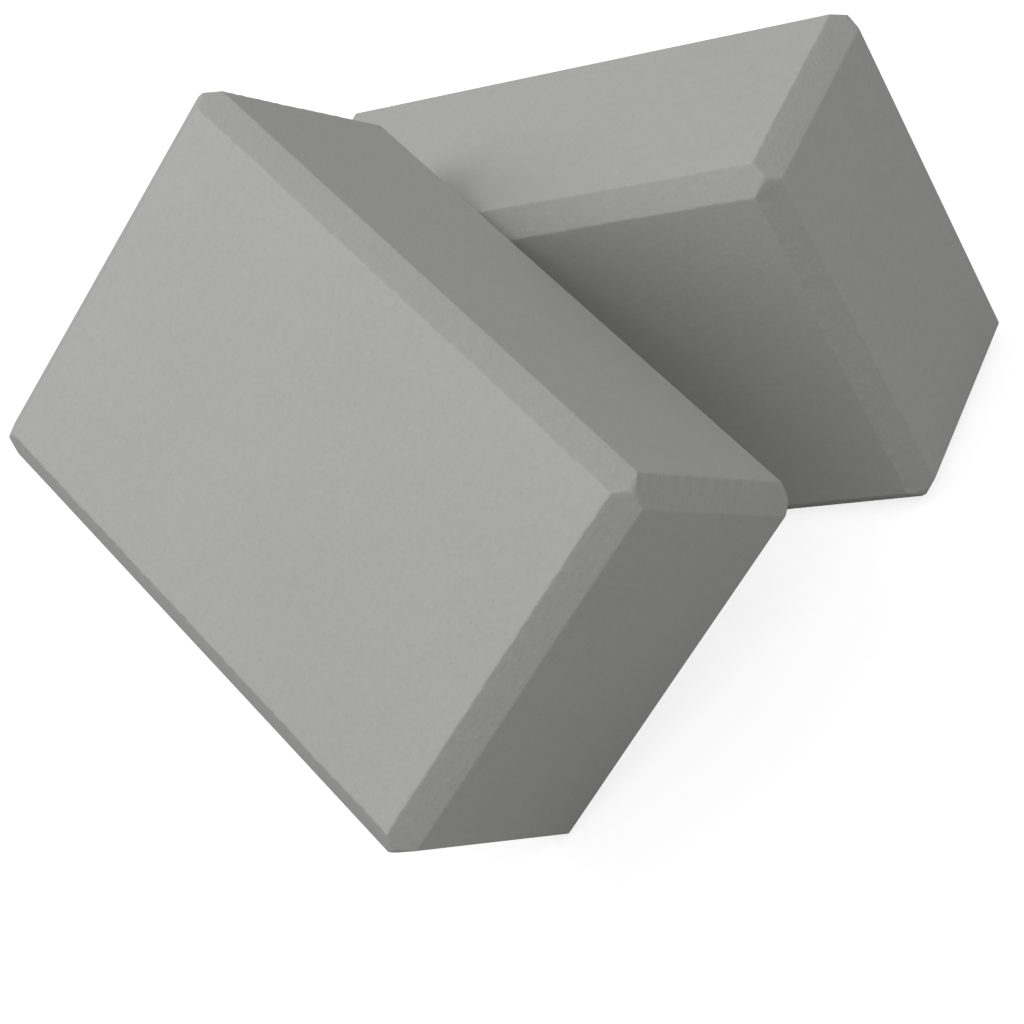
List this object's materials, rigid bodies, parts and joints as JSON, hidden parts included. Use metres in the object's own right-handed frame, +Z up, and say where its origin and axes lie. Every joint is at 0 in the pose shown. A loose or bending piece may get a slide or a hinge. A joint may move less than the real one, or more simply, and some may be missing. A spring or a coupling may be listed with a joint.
{
  "type": "foam yoga block pair",
  "caption": "Grey closed-cell foam yoga blocks with bevelled edges, a leaning block resting on a standing block, used as props under the hand, foot, hip or back.",
  "frame": {"origin": "middle of the long narrow face that the standing block rests on", "axes": "+Z up, +X along the standing block's length, +Y towards its back, away from the leaning block"},
  "size_m": [0.261, 0.3185, 0.2472],
  "materials": {
    "foam": "matte closed-cell EVA foam, cut faces"
  },
  "bodies": {
    "standing": {"standing_block": "foam"},
    "leaning": {"leaning_block": "foam"}
  },
  "joints": [
    {"name": "leaning_block_lift", "type": "slide", "parent": "standing", "child": "leaning", "axis": [0, 0, 1], "range_m": [0, 0.2]}
  ]
}
